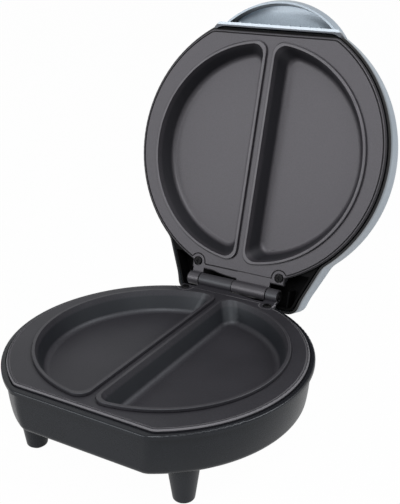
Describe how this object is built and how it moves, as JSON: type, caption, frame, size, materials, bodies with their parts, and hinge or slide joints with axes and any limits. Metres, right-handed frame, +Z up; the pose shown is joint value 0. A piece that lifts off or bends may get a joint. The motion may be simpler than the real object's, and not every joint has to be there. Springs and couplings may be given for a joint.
{
  "type": "electric omelette maker",
  "caption": "Countertop electric omelette maker with a round flat-fronted base on feet, half-moon cooking pockets in both plates and a hinged silver lid with a crescent handle.",
  "frame": {"origin": "middle of the whole part's underside with the lid open, on the table", "axes": "+Z up, +Y from the front towards the hinge, +X to the right seen from the front"},
  "size_m": [0.221, 0.2988, 0.2845],
  "materials": {
    "black_housing": "moulded black plastic, semi-gloss",
    "black_foot": "moulded black plastic, semi-gloss",
    "pad_rubber": "matt rubber",
    "nonstick_casting": "die casting with a dark grey non-stick coating",
    "steel": "zinc-plated",
    "heater_sheath": "dull oxidised sheath",
    "reflector_sheet": "bright aluminised sheet",
    "heat_shield": "aluminised steel sheet",
    "blackened_steel": "blackened steel",
    "sensor_body": "ceramic-filled plastic",
    "terminal_plastic": "natural nylon",
    "lead_insulation": "glass-fibre sleeved lead",
    "gland_plastic": "moulded black plastic",
    "silver_lid": "silver-grey painted, glossy",
    "black_frame": "heat-resistant black plastic",
    "board_laminate": "bare laminate",
    "lamp_glass": "clear neon lamp",
    "red_lens": "translucent red",
    "green_lens": "translucent green"
  },
  "bodies": {
    "base": {"base_housing": "black_housing", "lower_plate": "nonstick_casting", "lower_plate_screws": "blackened_steel", "lower_post_screws": "steel", "lower_heating_element": "heater_sheath", "lower_straps": "steel", "lower_strap_screws": "steel", "thermal_fuse": "sensor_body", "lower_reflector": "heat_shield", "reflector_screws": "steel", "terminal_block": "terminal_plastic", "element_leads": "lead_insulation", "cord_gland": "gland_plastic", "hinge_pin": "blackened_steel", "hinge_pin_clip": "blackened_steel", "foot_screws": "steel", "foot_front_left": "black_foot", "foot_front_right": "black_foot", "foot_rear_left": "black_foot", "foot_rear_right": "black_foot", "foot_pad_front_left": "pad_rubber", "foot_pad_front_right": "pad_rubber", "foot_pad_rear_left": "pad_rubber", "foot_pad_rear_right": "pad_rubber"},
    "lid": {"lid_shell": "silver_lid", "lid_frame": "black_frame", "upper_plate": "nonstick_casting", "upper_plate_screws": "blackened_steel", "upper_post_screws": "steel", "upper_heating_element": "heater_sheath", "upper_straps": "steel", "upper_strap_screws": "steel", "thermostat": "sensor_body", "upper_reflector": "reflector_sheet", "lamp_board": "board_laminate", "lamp_board_screws": "steel", "power_lamp": "lamp_glass", "ready_lamp": "lamp_glass", "power_lens": "red_lens", "ready_lens": "green_lens"}
  },
  "joints": [
    {"name": "lid_hinge", "type": "hinge", "parent": "base", "child": "lid", "pos_m": [0, 0.06042, 0.0665], "axis": [1, 0, 0], "range_deg": [0, 106.6]}
  ]
}
